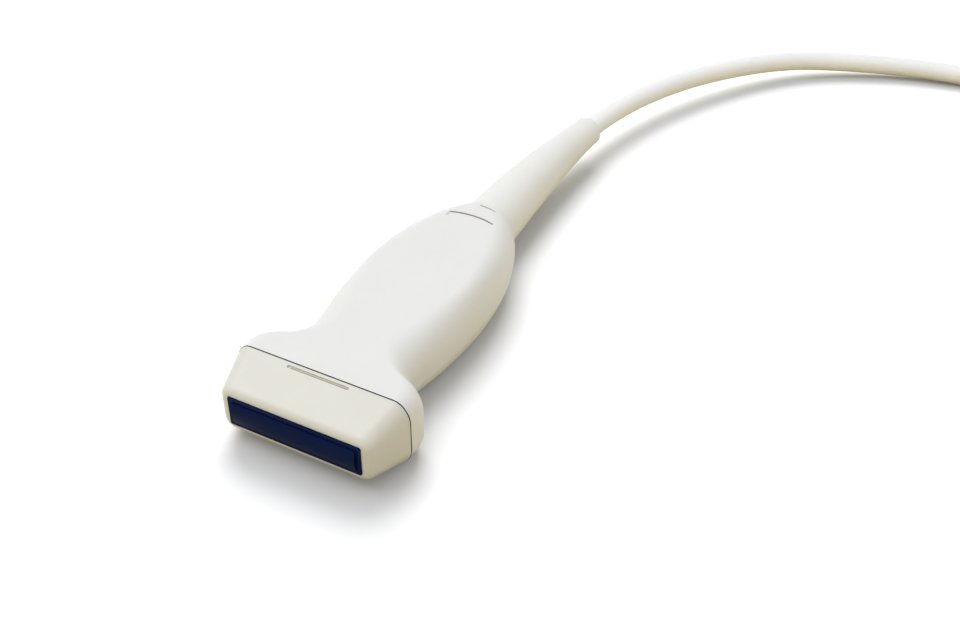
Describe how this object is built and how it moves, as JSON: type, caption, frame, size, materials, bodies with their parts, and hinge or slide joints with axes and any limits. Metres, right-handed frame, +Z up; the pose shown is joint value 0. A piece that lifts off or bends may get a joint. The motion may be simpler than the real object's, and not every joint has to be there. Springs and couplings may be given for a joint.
{
  "type": "ultrasound transducer probe",
  "caption": "Linear-array ultrasound transducer probe: a flat waisted handpiece with a wide lens, a tapered strain relief and a cable that ends in a locking system connector.",
  "frame": {"origin": "centre of the probe's footprint on the table, without its cable: X across the probe, Y midway between the lens and the end of the strain relief", "axes": "+Y from the lens towards the cable, +X across the width to the right when seen along +Y, +Z up from the table"},
  "size_m": [0.2777, 0.3174, 0.044],
  "materials": {
    "lens_silicone": "smooth dark blue silicone with a soft gloss",
    "nose_plastic": "fine satin, slightly creamier than the housing",
    "housing_plastic": "fine satin off-white",
    "seal_rubber": "matte bead",
    "boot_rubber": "satin off-white elastomer",
    "cable_jacket": "smooth satin off-white jacket",
    "matching_resin": "ground filled resin",
    "array_ceramic": "diced ceramic",
    "backing_compound": "cast filled compound",
    "bare_aluminium": "machined",
    "flex_film": "amber film",
    "circuit_board": "solder mask",
    "socket_plastic": "moulded",
    "shield_copper": "thin rolled copper alloy",
    "plated_steel": "zinc plated",
    "inner_wire": "wrapped fine coaxial wires",
    "clamp_plastic": "moulded glass-filled",
    "shell_plastic": "fine satin off-white",
    "contact_gold": "gold plated",
    "bush_bronze": "sintered bronze",
    "handle_plastic": "moulded dark grey"
  },
  "bodies": {
    "probe": {"acoustic_lens": "lens_silicone", "nosepiece": "nose_plastic", "seam_seal": "seal_rubber", "outer_matching_layer": "matching_resin", "inner_matching_layer": "matching_resin", "element_array": "array_ceramic", "backing_block": "backing_compound", "array_frame": "bare_aluminium", "upper_flex": "flex_film", "lower_flex": "flex_film", "upper_board": "circuit_board", "lower_board": "circuit_board", "upper_socket": "socket_plastic", "lower_socket": "socket_plastic", "shield_sleeve": "shield_copper", "board_spacers": "plated_steel", "coax_bundle": "inner_wire", "cable_entry": "cable_jacket", "braid_ferrule": "plated_steel", "upper_clamp": "clamp_plastic", "lower_clamp": "clamp_plastic", "clamp_screws": "plated_steel", "upper_housing": "housing_plastic", "lower_housing": "housing_plastic", "strain_relief_boot": "boot_rubber", "cable": "cable_jacket", "cable_coil": "cable_jacket", "cable_tail": "cable_jacket", "connector_front_shell": "shell_plastic", "connector_back_shell": "shell_plastic", "shell_screws": "plated_steel", "nose_frame": "bare_aluminium", "contact_block": "socket_plastic", "contact_pads": "contact_gold", "contact_board": "circuit_board", "connector_harness": "inner_wire", "connector_cable_entry": "cable_jacket", "connector_boot": "boot_rubber", "lock_bush": "bush_bronze"},
    "lock": {"lock_shaft": "plated_steel", "retaining_clip": "plated_steel", "lock_handle": "handle_plastic"}
  },
  "joints": [
    {"name": "lock_turn", "type": "hinge", "parent": "probe", "child": "lock", "pos_m": [0.222, 0.011, 0.022], "axis": [1, 0, 0], "range_deg": [0, 90]}
  ]
}
